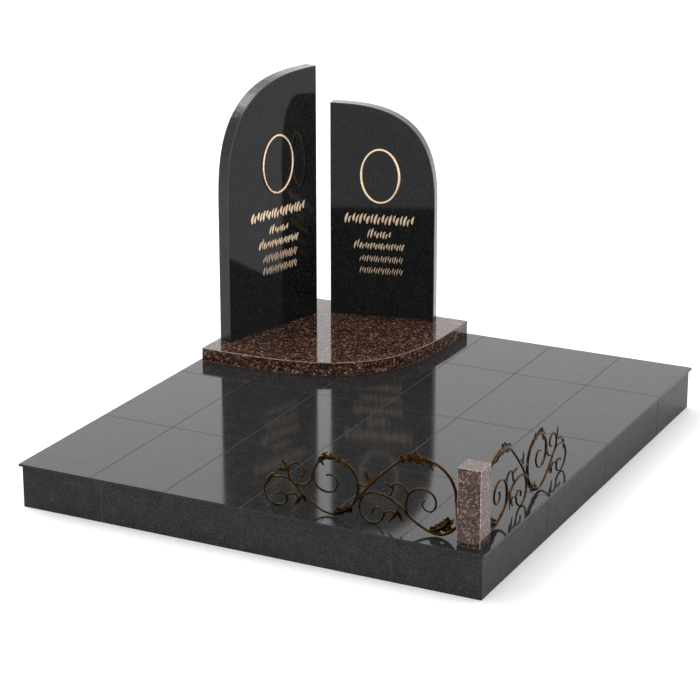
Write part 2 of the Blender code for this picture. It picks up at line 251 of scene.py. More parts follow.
# %% [markdown]
# The black stone is a gabbro: nearly black crystals of 1 to 3 mm, some grey feldspar between them and a
# few bright glints. Polished, it mirrors little light straight on and much more at a low angle, which is
# why the paving looks grey and the upright faces look black. The stone's own colour must stay very dark,
# or the mirrored part would be lost in it. The paving is a little less finely polished, so its mirror
# image softens with distance, and the headstones have the finest polish.

# %% Black granite
POLISH_VARIETY = 0.2
PAVING_ROUGHNESS = 0.08
CLADDING_ROUGHNESS = 0.12
HEADSTONE_ROUGHNESS = 0.05


def black_granite(name, base, glint, grain, roughness, ior):
    look, shader = new_look(name, roughness, ior=ior)
    place = here(look)
    tint = ramp(look, crystals(look, place, grain),
                [(0.0, (base * 0.5,) * 3), (0.60, (base * 0.85,) * 3), (0.86, (base * 1.4,) * 3),
                 (1.0, (base * glint, base * glint, base * glint * 1.04))])
    shade = ramp(look, clouds(look, place, size=0.06, detail=4.0, rough=0.6),
                 [(0.3, (0.85,) * 3), (0.7, (1.15,) * 3)])
    link(look, mix(look, "MULTIPLY", 1.0, tint, shade), shader.inputs["Base Color"])
    return look, shader


def vary_polish(look, shader, roughness, size):
    """A polish that is a little finer in some places than in others."""
    polish = clouds(look, here(look), size, detail=2.0)
    low, high = roughness * (1 - POLISH_VARIETY), roughness * (1 + POLISH_VARIETY)
    link(look, stretch(look, polish, low, high), shader.inputs["Roughness"])


paving_granite, paving_shader = black_granite(
    "polished_paving_granite", base=0.022, glint=2.2, grain=0.0024, roughness=PAVING_ROUGHNESS, ior=1.231)
vary_polish(paving_granite, paving_shader, PAVING_ROUGHNESS, size=0.12)
# The cladding is a copy of the paving's stone for the upright faces. Its paler base colour is painted light,
# standing in for part of the mirrored light on those faces, and its mirror is weaker.
cladding_granite_painted_light, cladding_shader = black_granite(
    "polished_cladding_granite", base=0.0305, glint=1.7, grain=0.0024, roughness=CLADDING_ROUGHNESS, ior=1.13)
vary_polish(cladding_granite_painted_light, cladding_shader, CLADDING_ROUGHNESS, size=0.12)
headstone_granite, headstone_shader = black_granite(
    "polished_headstone_granite", base=0.0076, glint=4.2, grain=0.0034, roughness=HEADSTONE_ROUGHNESS,
    ior=1.30)
vary_polish(headstone_granite, headstone_shader, HEADSTONE_ROUGHNESS, size=0.10)
print("black granite:", paving_granite.name, cladding_granite_painted_light.name, headstone_granite.name)

# %% [markdown]
# The curved rims of the headstones are ground with a hand machine that travels across the stone's
# thickness. It leaves faint strokes from face to face, and slight waves between them. Both are noise that
# is stretched along the thickness, which is each stone's own z, so each headstone keeps its own upright
# frame as an object. The sharp edges are honed off by hand, and the narrow arris that this leaves is
# paler than the polish beside it. That paler colour is partly the honed stone's own tone and partly a
# painted highlight along the edges.

# %% Ground rims and honed arrises with painted highlights
ALONG_THICKNESS = 0.06
STROKE_SIZE = 0.007
STROKE_DEPTH = 0.0015
WAVE_SIZE = 0.045
WAVE_DEPTH = 0.0048
HONED_ROUGHNESS = 0.45


def ground_rim(name, base, roughness, ior):
    look, shader = black_granite(name, base, glint=3.0, grain=0.0026, roughness=roughness, ior=ior)
    squeezed = add_node(look, "ShaderNodeVectorMath", {"operation": "MULTIPLY"})
    link(look, here(look), squeezed.inputs[0])
    squeezed.inputs[1].default_value = (1.0, 1.0, ALONG_THICKNESS)
    strokes = clouds(look, squeezed.outputs["Vector"], STROKE_SIZE, detail=4.0, rough=0.7)
    waves = clouds(look, squeezed.outputs["Vector"], WAVE_SIZE, detail=1.0)
    link(look, stretch(look, strokes, roughness * 0.5, roughness * 1.5), shader.inputs["Roughness"])
    wave_bump = add_node(look, "ShaderNodeBump", Strength=0.6, Distance=WAVE_DEPTH, Height=waves)
    stroke_bump = add_node(look, "ShaderNodeBump", Strength=0.8, Distance=STROKE_DEPTH, Height=strokes,
                           Normal=wave_bump.outputs["Normal"])
    link(look, stroke_bump.outputs["Normal"], shader.inputs["Normal"])
    return look


def honed_arris_and_painted_highlight(name, tint, grain):
    """A honed arris: broken crystals make it paler, and its colour also holds a painted highlight."""
    look, shader = new_look(name, HONED_ROUGHNESS)
    speck = ramp(look, crystals(look, here(look), grain),
                 [(0.0, tuple(0.45 * c for c in tint)), (0.7, tint), (1.0, tuple(1.8 * c for c in tint))])
    link(look, speck, shader.inputs["Base Color"])
    return look


rim_granite = ground_rim("ground_rim_granite", base=0.006, roughness=0.18, ior=1.38)
# Each arris tint is partly the honed stone's own paler tone and partly a painted highlight along the edges.
black_arris = honed_arris_and_painted_highlight("honed_black_arris_painted_highlight", tint=(0.038, 0.038, 0.039), grain=0.003)
red_arris = honed_arris_and_painted_highlight("honed_red_arris_painted_highlight", tint=(0.20, 0.14, 0.12), grain=0.007)
pink_arris = honed_arris_and_painted_highlight("honed_pink_arris_painted_highlight", tint=(0.30, 0.23, 0.20), grain=0.006)
print("rim and arris:", rim_granite.name, black_arris.name, red_arris.name, pink_arris.name)

# %% [markdown]
# The red stone is a coarse granite: black mica, brown and tan feldspar and a little orange, in crystals
# of up to 10 mm. The post is sawn from a lighter, pinker bed of the same kind. A slight warp keeps the
# crystals from looking like tiles, and a second, finer layer breaks their edges.

# %% Red granite
WARP_SHARE = 0.5
FINE_GRAIN = 0.42
FINE_SHARE = 0.22


def speckled_granite(name, stops, grain, roughness, ior):
    look, shader = new_look(name, roughness, ior=ior)
    place = here(look)
    warp = add_node(look, "ShaderNodeTexNoise", Vector=place, Scale=1.0 / grain, Detail=2.0)
    offset = add_node(look, "ShaderNodeVectorMath", {"operation": "SCALE"}, Scale=grain * WARP_SHARE)
    link(look, warp.outputs["Color"], offset.inputs[0])
    moved = add_node(look, "ShaderNodeVectorMath", {"operation": "ADD"})
    link(look, place, moved.inputs[0])
    link(look, offset.outputs["Vector"], moved.inputs[1])
    coarse = ramp(look, crystals(look, moved.outputs["Vector"], grain), stops)
    fine = ramp(look, crystals(look, moved.outputs["Vector"], grain * FINE_GRAIN), stops)
    shade = ramp(look, clouds(look, place, size=0.05, detail=2.0), [(0.35, (0.85,) * 3), (0.65, (1.15,) * 3)])
    grains = mix(look, "MIX", FINE_SHARE, coarse, fine)
    link(look, mix(look, "MULTIPLY", 1.0, grains, shade), shader.inputs["Base Color"])
    vary_polish(look, shader, roughness, size=0.02)
    return look


pedestal_granite = speckled_granite(
    "polished_red_granite",
    [(0.0, (0.003, 0.002, 0.002)), (0.36, (0.009, 0.005, 0.004)), (0.56, (0.042, 0.017, 0.012)),
     (0.77, (0.112, 0.050, 0.034)), (0.92, (0.215, 0.113, 0.077)), (1.0, (0.42, 0.27, 0.20))],
    grain=0.0072, roughness=0.07, ior=1.29)
post_granite = speckled_granite(
    "polished_pink_granite",
    [(0.0, (0.005, 0.003, 0.003)), (0.27, (0.014, 0.008, 0.006)), (0.52, (0.046, 0.024, 0.018)),
     (0.76, (0.094, 0.052, 0.040)), (1.0, (0.25, 0.164, 0.131))],
    grain=0.0058, roughness=0.09, ior=1.32)
print("red granite:", pedestal_granite.name, post_granite.name)

# %% [markdown]
# Concrete and grout are rough, with sand in them. The bed is seen only from below, and the grout only as
# the thin lines between the slabs.

# %% Concrete and grout
def rough_mortar(name, light, dark, sand, bump_height):
    look, shader = new_look(name, roughness=0.9)
    place = here(look)
    stains = clouds(look, place, size=sand * 12, detail=5.0, rough=0.65)
    tint = ramp(look, stains, [(0.3, dark), (0.7, light)])
    speck = ramp(look, crystals(look, place, sand),
                 [(0.0, (0.75,) * 3), (0.9, (1.05,) * 3), (1.0, (1.3,) * 3)])
    link(look, mix(look, "MULTIPLY", 1.0, tint, speck), shader.inputs["Base Color"])
    bump = add_node(look, "ShaderNodeBump", Strength=0.5, Distance=bump_height,
                    Height=clouds(look, place, size=sand * 3, detail=4.0, rough=0.7))
    link(look, bump.outputs["Normal"], shader.inputs["Normal"])
    return look


concrete = rough_mortar("cast_concrete", light=(0.44, 0.43, 0.40), dark=(0.30, 0.29, 0.275),
                        sand=0.0016, bump_height=0.002)
grout = rough_mortar("dark_grout", light=(0.075, 0.073, 0.070), dark=(0.040, 0.039, 0.038),
                     sand=0.0006, bump_height=0.0005)
print("mortars:", concrete.name, grout.name)

# %% [markdown]
# The scroll panels are bronze with a dark brown patina that hands and weather have rubbed golden on the
# ridges. Pointiness tells how far a spot stands proud of its neighbours, so it can drive that rubbing.
# The upper sides are painted lighter and the undersides painted nearly black, as painted light and shade:
# the world normal's z scales the patina's colour. The frames and the inscription are a brighter, satin
# bronze, and the frames' edges are painted dark brown as a painted shadow outline round each ring.

# %% Bronze
def patina_and_painted_shade_bronze(name, dark, warm, bright):
    look, shader = new_look(name, roughness=0.4, metallic=1.0)
    place = here(look)
    surface = add_node(look, "ShaderNodeNewGeometry")
    rubbed = add_node(look, "ShaderNodeMapRange", Value=surface.outputs["Pointiness"],
                      From_Min=0.550, From_Max=0.62)
    # Painted light and shade: the colour is lighter on upper sides and nearly black on undersides, by the
    # world normal's z.
    facing_up_for_painted_shade = add_node(look, "ShaderNodeSeparateXYZ", Vector=surface.outputs["Normal"]).outputs["Z"]
    shade = ramp(look, stretch(look, facing_up_for_painted_shade, 0.5, 1.0),
                 [(0.25, (0.06,) * 3), (0.52, (0.42,) * 3), (0.85, (1.35,) * 3)])
    mottle = clouds(look, place, size=0.022, detail=4.0, rough=0.6)
    patina = ramp(look, mottle, [(0.36, dark), (0.64, warm)])
    worn = mix(look, "MIX", rubbed.outputs["Result"], patina, (*bright, 1.0))
    link(look, mix(look, "MULTIPLY", 1.0, worn, shade), shader.inputs["Base Color"])
    link(look, stretch(look, mottle, 0.26, 0.42), shader.inputs["Roughness"])
    bump = add_node(look, "ShaderNodeBump", Strength=0.25, Distance=0.0006,
                    Height=clouds(look, place, size=0.003, detail=3.0, rough=0.6))
    link(look, bump.outputs["Normal"], shader.inputs["Normal"])
    return look


def satin_bronze(name, low, high, roughness):
    look, shader = new_look(name, roughness, metallic=1.0)
    mottle = clouds(look, here(look), size=0.006, detail=3.0)
    link(look, ramp(look, mottle, [(0.3, low), (0.7, high)]), shader.inputs["Base Color"])
    link(look, stretch(look, mottle, roughness * 0.8, roughness * 1.3), shader.inputs["Roughness"])
    return look


scroll_bronze = patina_and_painted_shade_bronze("scroll_bronze_patina_and_painted_shade", dark=(0.014, 0.0065, 0.0025),
                                 warm=(0.066, 0.031, 0.007), bright=(0.44, 0.215, 0.030))
frame_bronze = satin_bronze("satin_frame_bronze", low=(0.80, 0.61, 0.44), high=(0.93, 0.75, 0.57),
                            roughness=0.25)
# Painted shade: the frames' dark brown feet stand in for the shadow outline round each ring.
painted_shade_frame_edge = satin_bronze("frame_edge_painted_shade_bronze", low=(0.24, 0.085, 0.030),
                                 high=(0.34, 0.130, 0.045), roughness=0.45)
stroke_bronze = satin_bronze("satin_stroke_bronze", low=(0.74, 0.55, 0.38), high=(0.95, 0.75, 0.55),
                             roughness=0.30)
print("bronzes:", scroll_bronze.name, frame_bronze.name, stroke_bronze.name)

# %% [markdown]
# The paving and the cladding are flat sawn slabs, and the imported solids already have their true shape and
# their small arris. They only need the stone's finish, so each slab keeps its own mesh and gets a new
# material.

# %% Dress the slabs and the bed
def dress(name, look):
    """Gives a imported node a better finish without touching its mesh."""
    for slot in nodes[name].material_slots:
        slot.material = look


slab_names = sorted(name for name in nodes if "slab" in name)
for name in slab_names:
    dress(name, paving_granite if name.startswith("paving") else cladding_granite_painted_light)
dress("concrete_bed", concrete)
print("slabs dressed:", len(slab_names))

# %% [markdown]
# A mason fills the 2 mm joints between the slabs with dark grout and wipes it back a little below the
# surface. The slabs' own boxes say where the joints are, so each strip of grout is worked out from them.

# %% Grout in the joints
GROUT_RECESS = 0.0008
GROUT_CLEARANCE = 0.00005
GROUT_STEP = 0.00002


def gaps_between(spans):
    """The free gaps between neighbouring (low, high) spans."""
    ordered = sorted(set((round(low, 5), round(high, 5)) for low, high in spans))
    return [(a[1], b[0]) for a, b in zip(ordered, ordered[1:]) if b[0] > a[1]]


def add_box(mesh, low, high):
    made = bmesh.ops.create_cube(mesh, size=1.0)
    middle = (Vector(low) + Vector(high)) / 2
    size = Vector(high) - Vector(low)
    for vertex in made["verts"]:
        vertex.co = Vector([a * b for a, b in zip(vertex.co, size)]) + middle


def mesh_piece(name, mesh, looks, place=Matrix(), smooth=False):
    """Turns a bmesh into a piece that rides on the monument."""
    data = bpy.data.meshes.new(name)
    bmesh.ops.recalc_face_normals(mesh, faces=mesh.faces)
    mesh.to_mesh(data)
    mesh.free()
    for polygon in data.polygons:
        polygon.use_smooth = smooth
    for look in looks:
        data.materials.append(look)
    piece = bpy.data.objects.new(name, data)
    piece.matrix_world = place
    scene.collection.objects.link(piece)
    bpy.context.view_layer.update()
    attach(piece, "root")
    return piece


paving_boxes = [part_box(name) for name in slab_names if name.startswith("paving")]
paving_low = Vector([min(box[0][i] for box in paving_boxes) for i in range(3)])
paving_high = Vector([max(box[1][i] for box in paving_boxes) for i in range(3)])
grout_mesh = bmesh.new()
top = paving_high.z - GROUT_RECESS
bottom = paving_low.z + GROUT_CLEARANCE
for low, high in gaps_between([(box[0][0], box[1][0]) for box in paving_boxes]):
    add_box(grout_mesh, (low + GROUT_CLEARANCE, paving_low.y + GROUT_RECESS, bottom),
            (high - GROUT_CLEARANCE, paving_high.y - GROUT_RECESS, top))
for low, high in gaps_between([(box[0][1], box[1][1]) for box in paving_boxes]):
    add_box(grout_mesh, (paving_low.x + GROUT_RECESS, low + GROUT_CLEARANCE, bottom),
            (paving_high.x - GROUT_RECESS, high - GROUT_CLEARANCE, top - GROUT_STEP))
for side, across in (("front", 0), ("back", 0), ("left", 1), ("right", 1)):
    boxes = [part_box(name) for name in slab_names if name.startswith(side)]
    for low, high in gaps_between([(box[0][across], box[1][across]) for box in boxes]):
        start, end = list(boxes[0][0]), list(boxes[0][1])
        start[across], end[across] = low + GROUT_CLEARANCE, high - GROUT_CLEARANCE
        start[1 - across] += GROUT_RECESS
        end[1 - across] -= GROUT_RECESS
        end[2] -= GROUT_CLEARANCE
        add_box(grout_mesh, start, end)
joint_grout = mesh_piece("joint_grout", grout_mesh, [grout])
print("grout strips:", len(joint_grout.data.polygons) // 6)

# %% [markdown]
# The pedestal, the headstones and the post are cut from slab to a drawn outline. The imported solids have
# that outline with few sides. A curved rim that mirrors a white studio shows every facet, so here the
# same outline is drawn with many more points, and a fine rounded arris takes the honed finish, which
# shows as a paler line along the edges: partly the honed tone and partly a painted highlight.

# %% Sawn plates
CURVE_STEPS = 400
ARRIS_STEPS = 3
ARRIS_ANGLE = 25


def full_quarter(width, height, fullness):
    """A rounded shoulder from (0, height) to (width, 0), squarer than an ellipse where fullness is over 2."""
    points = []
    for i in range(CURVE_STEPS + 1):
        angle = math.pi / 2 * i / CURVE_STEPS
        across = width * math.sin(angle) ** (2 / fullness)
        up = height * max(0.0, math.cos(angle)) ** (2 / fullness)
        points.append((across, up))
    return points


def even_out(points, spacing):
    """Spreads points evenly along a line, so that a rim has no long flats."""
    lengths = [math.dist(a, b) for a, b in zip(points, points[1:])]
    total = sum(lengths)
    count = max(2, round(total / spacing))
    result, at, reached = [points[0]], 0, 0.0
    for i in range(1, count):
        goal = total * i / count
        while reached + lengths[at] < goal:
            reached += lengths[at]
            at += 1
        share = (goal - reached) / lengths[at]
        a, b = points[at], points[at + 1]
        result.append((a[0] + (b[0] - a[0]) * share, a[1] + (b[1] - a[1]) * share))
    return result + [points[-1]]


def compare_with_packed(piece, replaced):
    """Prints how far the piece's box is from the box of the solid that it stands for."""
    places = [piece.matrix_world @ vertex.co for vertex in piece.data.vertices]
    made = [[pick(place[i] for place in places) for i in range(3)] for pick in (min, max)]
    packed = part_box(replaced)
    off = max(abs(made[side][i] - packed[side][i]) for side in (0, 1) for i in range(3))
    print(piece.name, "differs from the packed solid by", round(off * 1000, 2), "mm")


def sawn_plate(name, outline, thickness, place, looks, arris, replaced):
    """A plate from z = 0 down to -thickness in its own frame. The three looks are face, rim and arris."""
    mesh = bmesh.new()
    front = [mesh.verts.new((x, y, 0.0)) for x, y in outline]
    back = [mesh.verts.new((x, y, -thickness)) for x, y in outline]
    mesh.faces.new(front)
    mesh.faces.new(list(reversed(back)))
    for i in range(len(outline)):
        j = (i + 1) % len(outline)
        rim_face = mesh.faces.new((front[j], front[i], back[i], back[j]))
        rim_face.material_index = 1
    piece = mesh_piece(name, mesh, looks, place, smooth=True)
    bevel = piece.modifiers.new("arris", "BEVEL")
    bevel.width = arris
    bevel.segments = ARRIS_STEPS
    bevel.limit_method = "ANGLE"
    bevel.angle_limit = math.radians(ARRIS_ANGLE)
    bevel.harden_normals = True
    bevel.material = 2
    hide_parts(replaced)
    compare_with_packed(piece, replaced)
    return piece


print("plate tools ready")

# %% [markdown]
# The pedestal is square in its back corner and bows out towards the front of the platform. The curve is a
# superellipse, which is what a mason draws with a string and a little extra fullness at the shoulder.

# %% Pedestal
PEDESTAL_BOW = 3.4
PEDESTAL_ARRIS = 0.003
PEDESTAL_SPACING = 0.010

pedestal_low, pedestal_high = (Vector(corner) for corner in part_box("pedestal"))
pedestal_corner = Vector((pedestal_low.x, pedestal_high.y, pedestal_high.z))
pedestal_size = pedestal_high - pedestal_low
bow = even_out(full_quarter(pedestal_size.x, pedestal_size.y, PEDESTAL_BOW), PEDESTAL_SPACING)
pedestal_outline = [(0.0, 0.0)] + [(x, -y) for x, y in reversed(bow)]
pedestal_outline.reverse()
sawn_plate("bowed_pedestal", pedestal_outline, pedestal_size.z, Matrix.Translation(pedestal_corner),
           [pedestal_granite, pedestal_granite, red_arris], PEDESTAL_ARRIS, "pedestal")

# %% [markdown]
# Each headstone has one straight upright edge and one rounded shoulder. The two stand at an angle to each
# other with a narrow slot between their straight edges, so each keeps its own upright frame: x runs to
# the right along its face, y is up, and z comes out of the face. The frame's origin is the foot of the
# straight edge.

# %% Headstones
HEADSTONE_THICKNESS = 0.060
HEADSTONE_ARRIS = 0.0028
SHOULDER_FULLNESS = 2.9
SHOULDER_SPACING = 0.008
TALL = {"node": "tall_headstone", "width": 0.551, "height": 1.122, "drop": 0.551, "from_left": 0.216,
        "from_back": 0.201, "turn": 74.7, "side": -1}
LOW = {"node": "low_headstone", "width": 0.471, "height": 0.959, "drop": 0.473, "from_left": 0.267,
       "from_back": 0.171, "turn": 12.0, "side": 1}


def headstone_stand(stone):
    """The upright frame of a headstone."""
    foot = Vector((pedestal_corner.x + stone["from_left"], pedestal_corner.y - stone["from_back"],
                   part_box(stone["node"])[0][2]))
    return (Matrix.Translation(foot) @ Matrix.Rotation(math.radians(stone["turn"]), 4, "Z")
            @ Matrix.Rotation(math.radians(90), 4, "X"))


def headstone(name, stone):
    width, height, drop = stone["width"], stone["height"], stone["drop"]
    shoulder = even_out(full_quarter(width, drop, SHOULDER_FULLNESS), SHOULDER_SPACING)
    outline = [(0.0, 0.0)] + [(x, height - drop + y) for x, y in shoulder] + [(width, 0.0)]
    outline = [(stone["side"] * x, y) for x, y in outline]
    if stone["side"] > 0:
        outline.reverse()
    return sawn_plate(name, outline, HEADSTONE_THICKNESS, headstone_stand(stone),
                      [headstone_granite, rim_granite, black_arris], HEADSTONE_ARRIS,
                      stone["node"])


headstone("tall_rounded_headstone", TALL)
headstone("low_rounded_headstone", LOW)

# %% [markdown]
# The oval frames are thin cast rings: a bright half-round bead on a slightly wider foot that is painted
# dark brown, a painted shadow outline round the bead. One section is carried round an ellipse, which keeps
# the band equally wide all the way.

# %% Oval frames
FRAME_BAND = 0.013
FRAME_HEIGHT = 0.006
FRAME_STEPS = 128
FRAME_CREASE = 40
BEAD_HALF_SHARE = 0.41
BEAD_STEPS = 10
BEAD_FULLNESS = 0.4
FOOT_RISE = 0.30
BEAD_START = 0.36
BEAD_RISE = 0.64
STONE_GAP = 0.0003
TALL_FRAME = {"width": 0.195, "height": 0.264, "inset": 0.246, "rise": 0.731}
LOW_FRAME = {"width": 0.184, "height": 0.251, "inset": 0.226, "rise": 0.642}


def oval_frame(name, replaced, ring, stone):
    half_w, half_h = ring["width"] / 2 - FRAME_BAND / 2, ring["height"] / 2 - FRAME_BAND / 2
    foot, bead = FRAME_BAND / 2, FRAME_BAND * BEAD_HALF_SHARE
    section = [(-foot, 0.0), (-foot, FRAME_HEIGHT * FOOT_RISE), (-bead, FRAME_HEIGHT * BEAD_START)]
    for i in range(1, BEAD_STEPS):
        angle = math.pi * i / BEAD_STEPS
        up = FRAME_HEIGHT * (BEAD_START + BEAD_RISE * math.sin(angle) ** BEAD_FULLNESS)
        section.append((-bead * math.cos(angle), up))
    section += [(bead, FRAME_HEIGHT * BEAD_START), (foot, FRAME_HEIGHT * FOOT_RISE), (foot, 0.0)]
    mesh = bmesh.new()
    rings = []
    for i in range(FRAME_STEPS):
        angle = 2 * math.pi * i / FRAME_STEPS
        centre = Vector((half_w * math.cos(angle), half_h * math.sin(angle), 0.0))
        out = Vector((math.cos(angle) / half_w, math.sin(angle) / half_h, 0.0)).normalized()
        places = [centre + out * across + Vector((0.0, 0.0, up)) for across, up in section]
        rings.append([mesh.verts.new(spot) for spot in places])
    for a, b in zip(rings, rings[1:] + rings[:1]):
        for j in range(len(section)):
            k = (j + 1) % len(section)
            face = mesh.faces.new((a[j], b[j], b[k], a[k]))
            # The foot faces take the second look, the painted shadow outline.
            face.material_index = 0 if 2 <= j < len(section) - 3 else 1
    mesh.transform(Matrix.Translation((stone["side"] * ring["inset"], ring["rise"], STONE_GAP)))
    piece = mesh_piece(name, mesh, [frame_bronze, painted_shade_frame_edge], headstone_stand(stone),
                       smooth=True)
    piece.data.set_sharp_from_angle(angle=math.radians(FRAME_CREASE))
    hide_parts(replaced)
    compare_with_packed(piece, replaced)
    return piece


oval_frame("tall_cast_frame", "tall_oval_frame", TALL_FRAME, TALL)
oval_frame("low_cast_frame", "low_oval_frame", LOW_FRAME, LOW)

# %% [markdown]
# The stones carry rows of raised bronze strokes. A reusable part says nothing, so each row holds leaning
# blades, and a word row has two full blades and then lower ones. A blade is a slim curved stroke that
# stands 2 mm proud, with narrow ends, sloping sides and a low ridge along its top that catches the light.

# %% Inscription blades
BLADE_HEIGHT = 0.0022
BLADE_LEAN = math.radians(16)
LEAN_VARIETY = 0.05
LEAN_RHYTHM = 2.4
BLADE_BULGE = 0.22
BLADE_RIDGE_WIDTH = 0.78
BLADE_RIDGE_HEIGHT = 0.85
SMALL_BLADE = 0.70
BLADE_WIDTHS = (0.40, 0.88, 1.0, 1.0, 0.92, 0.74, 0.30)
BLADE_RHYTHM = ((0.00, 1.00, 1.00), (0.00, 0.72, 0.75), (0.20, 1.00, 0.90), (0.00, 0.88, 0.70),
                (0.00, 1.00, 0.95), (0.28, 1.00, 0.75), (0.00, 0.80, 1.00), (0.10, 1.00, 0.72))
ROW_FIELDS = ("from", "to", "low", "high", "blades", "weight", "word")
ROWS_TALL = (
    (0.0769, 0.4112, 0.4943, 0.5394, 19, 0.0134, False),
    (0.1824, 0.2998, 0.4262, 0.4693, 8, 0.0104, True),
    (0.1213, 0.3630, 0.3670, 0.4151, 19, 0.0096, True),
    (0.1306, 0.3423, 0.3029, 0.3410, 19, 0.0066, False),
    (0.1306, 0.3423, 0.2498, 0.2849, 19, 0.0066, False),
)
ROWS_LOW = (
    (0.0675, 0.3815, 0.4250, 0.4710, 19, 0.0128, False),
    (0.1715, 0.2785, 0.3615, 0.4080, 8, 0.0100, True),
    (0.1115, 0.3365, 0.3100, 0.3540, 19, 0.0092, True),
    (0.1350, 0.3325, 0.2515, 0.2830, 19, 0.0062, False),
    (0.1350, 0.3325, 0.1980, 0.2290, 19, 0.0062, False),
)


def add_blade(mesh, foot, tip, weight, bulge):
    """One raised blade from foot to tip, curved sideways by bulge."""
    foot, tip = Vector((*foot, STONE_GAP)), Vector((*tip, STONE_GAP))
    run = tip - foot
    aside = Vector((-run.y, run.x, 0.0)).normalized()
    up = Vector((0.0, 0.0, BLADE_HEIGHT))
    loops = []
    for i, width in enumerate(BLADE_WIDTHS):
        share = i / (len(BLADE_WIDTHS) - 1)
        middle = foot + run * share + aside * bulge * 4 * share * (1 - share)
        side = aside * width * weight / 2
        ridge = side * BLADE_RIDGE_WIDTH
        shoulder = up * BLADE_RIDGE_HEIGHT
        spots = (middle - side, middle - ridge + shoulder, middle + up, middle + ridge + shoulder,
                 middle + side)
        loops.append([mesh.verts.new(spot) for spot in spots])
    for a, b in zip(loops, loops[1:]):
        for j in range(len(a)):
            k = (j + 1) % len(a)
            mesh.faces.new((a[j], b[j], b[k], a[k]))
    mesh.faces.new(loops[0])
    mesh.faces.new(list(reversed(loops[-1])))


def inscription(name, rows, stone):
    """All rows of one stone. A word row has two full blades and then lower ones."""
    mesh = bmesh.new()
    count = 0
    for number, values in enumerate(rows):
        row = dict(zip(ROW_FIELDS, values))
        left, right = sorted((stone["side"] * row["from"], stone["side"] * row["to"]))
        pitch = (right - left) / row["blades"]
        full = row["high"] - row["low"]
        for i in range(row["blades"]):
            low, high, thick = BLADE_RHYTHM[(i + number * 3) % len(BLADE_RHYTHM)]
            height = full * (SMALL_BLADE if row["word"] and i > 1 else 1.0)
            lean = math.tan(BLADE_LEAN + LEAN_VARIETY * math.sin(LEAN_RHYTHM * i + number)) * height
            x = left + (i + 0.5) * pitch - lean * 0.5
            foot = (x + lean * low, row["low"] + height * low)
            tip = (x + lean * high, row["low"] + height * high)
            add_blade(mesh, foot, tip, row["weight"] * thick, row["weight"] * BLADE_BULGE)
            count += 1
    piece = mesh_piece(name, mesh, [stroke_bronze], headstone_stand(stone))
    print(name, "has", count, "blades")
    return piece


inscription("tall_inscription", ROWS_TALL, TALL)
inscription("low_inscription", ROWS_LOW, LOW)

# %% [markdown]
# The corner post is a plain sawn block of the pinker stone, with a fine arris.

# %% Corner post
POST_ARRIS = 0.002

post_low, post_high = (Vector(corner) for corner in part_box("corner_post"))
post_outline = [(post_low.x, post_low.y), (post_high.x, post_low.y), (post_high.x, post_high.y),
                (post_low.x, post_high.y)]
post_top = Matrix.Translation((0.0, 0.0, post_high.z))
sawn_plate("pink_corner_post", post_outline, post_high.z - post_low.z, post_top,
           [post_granite, post_granite, pink_arris], POST_ARRIS, "corner_post")

# %% [markdown]
# A scroll panel is one sand casting. The pattern maker lays tangent arcs end to end, like a rod bent
# round pegs, thins each one towards its eye, and dresses the joints with acanthus leaves. The bars below
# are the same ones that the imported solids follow: a start, a heading, two radii, and a list of (radius,
# degrees) bends.

# %% Scroll drawing
SCROLLS = {
    "long_s": ((16, 38), 90, 5.7, 3.3,
               [(1220, -6), (125, -55), (148, -70), (1078, -14), (98, 83), (353, 19), (81, -90), (52, -173),
                (23, -190)]),
    "second_s": ((23, 47), 300, 5.7, 3.3,
                 [(80, 74), (227, 31), (174, -43), (61, -136), (46, -127), (22, -200)]),
    "first_eye": ((210, 60), 71, 5.2, 3.3, [(100, 38), (62, 103), (43, 92), (25, 150), (12, 60)]),
    "first_curl": ((207, 137), 82, 4.6, 3.3, [(38, -81), (23, -93), (36, 42)]),
    "circle": ((440, 40), 136, 5.7, 3.3,
               [(122, -49), (93, -110), (86, -61), (55, 98), (42, 136), (31, 123), (15, 90)]),
    "second_eye": ((580, 158), 283, 5.0, 3.3, [(58, -56), (54, -54), (41, -77), (28, -125)]),
    "first_link": ((250, 47), 55, 3.9, 3.3, [(30, -110)]),
    "middle_link": ((353, 158), 293, 3.9, 3.7, [(33, 106)]),
    "last_link": ((640, 46), 56, 3.9, 3.3, [(28, -118)]),
    "lower_lug": ((0, 68), 0, 4.0, 4.0, [(1000, 1)]),
    "upper_lug": ((0, 148), 0, 4.0, 4.0, [(1000, 1.3)]),
}
DRAWING_UNIT = 0.001
BAR_STEP_DEGREES = 7.0
BAR_STEP_LENGTH = 8.0
BAR_SIDES = 12
BAR_DEPTH = 1.1
BALL_SIZE = 1.45
BALL_SIDES = 12
BALL_RINGS = 8


def bend_path(start, heading, bends):
    """Points along a chain of tangent arcs: (x, y, heading, how far along)."""
    x, y = start
    angle, along = math.radians(heading), 0.0
    points = [(x, y, angle, 0.0)]
    for radius, degrees in bends:
        length = radius * math.radians(abs(degrees))
        steps = max(math.ceil(abs(degrees) / BAR_STEP_DEGREES), math.ceil(length / BAR_STEP_LENGTH), 1)
        turn = math.radians(degrees) / steps
        chord = 2 * radius * math.sin(abs(turn) / 2)
        for _ in range(steps):
            x += chord * math.cos(angle + turn / 2)
            y += chord * math.sin(angle + turn / 2)
            angle += turn
            along += length / steps
            points.append((x, y, angle, along))
    return points


def loft(mesh, loops):
    """Skins closed loops of equal length and caps both ends."""
    rows = [[mesh.verts.new(point) for point in loop] for loop in loops]
    count = len(rows[0])
    for a, b in zip(rows, rows[1:]):
        for j in range(count):
            k = (j + 1) % count
            mesh.faces.new((a[j], a[k], b[k], b[j]))
    mesh.faces.new(list(reversed(rows[0])))
    mesh.faces.new(rows[-1])


